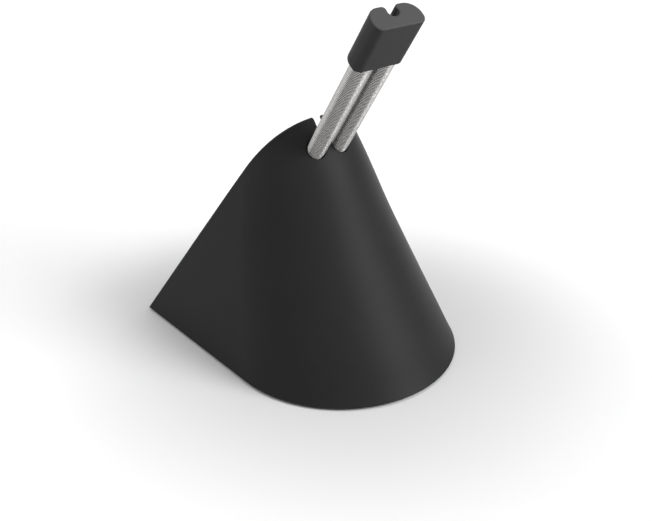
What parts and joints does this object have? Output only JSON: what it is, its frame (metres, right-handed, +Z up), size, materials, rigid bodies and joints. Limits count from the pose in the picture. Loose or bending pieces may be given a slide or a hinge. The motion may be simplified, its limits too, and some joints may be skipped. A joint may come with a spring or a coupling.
{
  "type": "mouse bungee",
  "caption": "Weighted slanted hood with close-wound springs that lean out of its front and carry a rubber clip for a mouse cable.",
  "frame": {"origin": "middle of the footprint, on the desk surface under the rubber foot", "axes": "+Z up, -Y towards the rounded front that the springs lean over, +X to the right as seen from the front; X = 0 is the plane of symmetry"},
  "size_m": [0.0844, 0.0943, 0.1165],
  "materials": {
    "hood": "satin soft-touch black",
    "inner_plastic": "matt black moulding",
    "clip_rubber": "matt black rubber",
    "foot_rubber": "matt black rubber",
    "spring_steel": "bright drawn wire",
    "screw_steel": "zinc plated",
    "ballast_steel": "stamped sheet",
    "insert_brass": "knurled brass"
  },
  "bodies": {
    "base": {"housing": "hood", "housing_inserts": "insert_brass", "rear_cover": "inner_plastic", "cover_screws": "screw_steel", "base_plate": "inner_plastic", "base_screws": "screw_steel", "foot_pad": "foot_rubber", "ballast_plate_1": "ballast_steel", "ballast_plate_2": "ballast_steel", "ballast_screws": "screw_steel", "anchor_block": "inner_plastic", "anchor_clamp": "inner_plastic", "anchor_screws": "screw_steel", "root_peg_left": "screw_steel", "root_peg_right": "screw_steel", "spring_left": "spring_steel", "spring_right": "spring_steel"},
    "clip": {"clip_sleeve": "clip_rubber", "clip_core": "inner_plastic"}
  },
  "joints": [
    {"name": "arm_flex", "type": "hinge", "parent": "base", "child": "clip", "pos_m": [0, -0.01311, 0.0843], "axis": [1, 0, 0], "range_deg": [-25, 40], "stiffness_Nm_per_rad": 0.05, "deforming": ["spring_left", "spring_right"]}
  ]
}
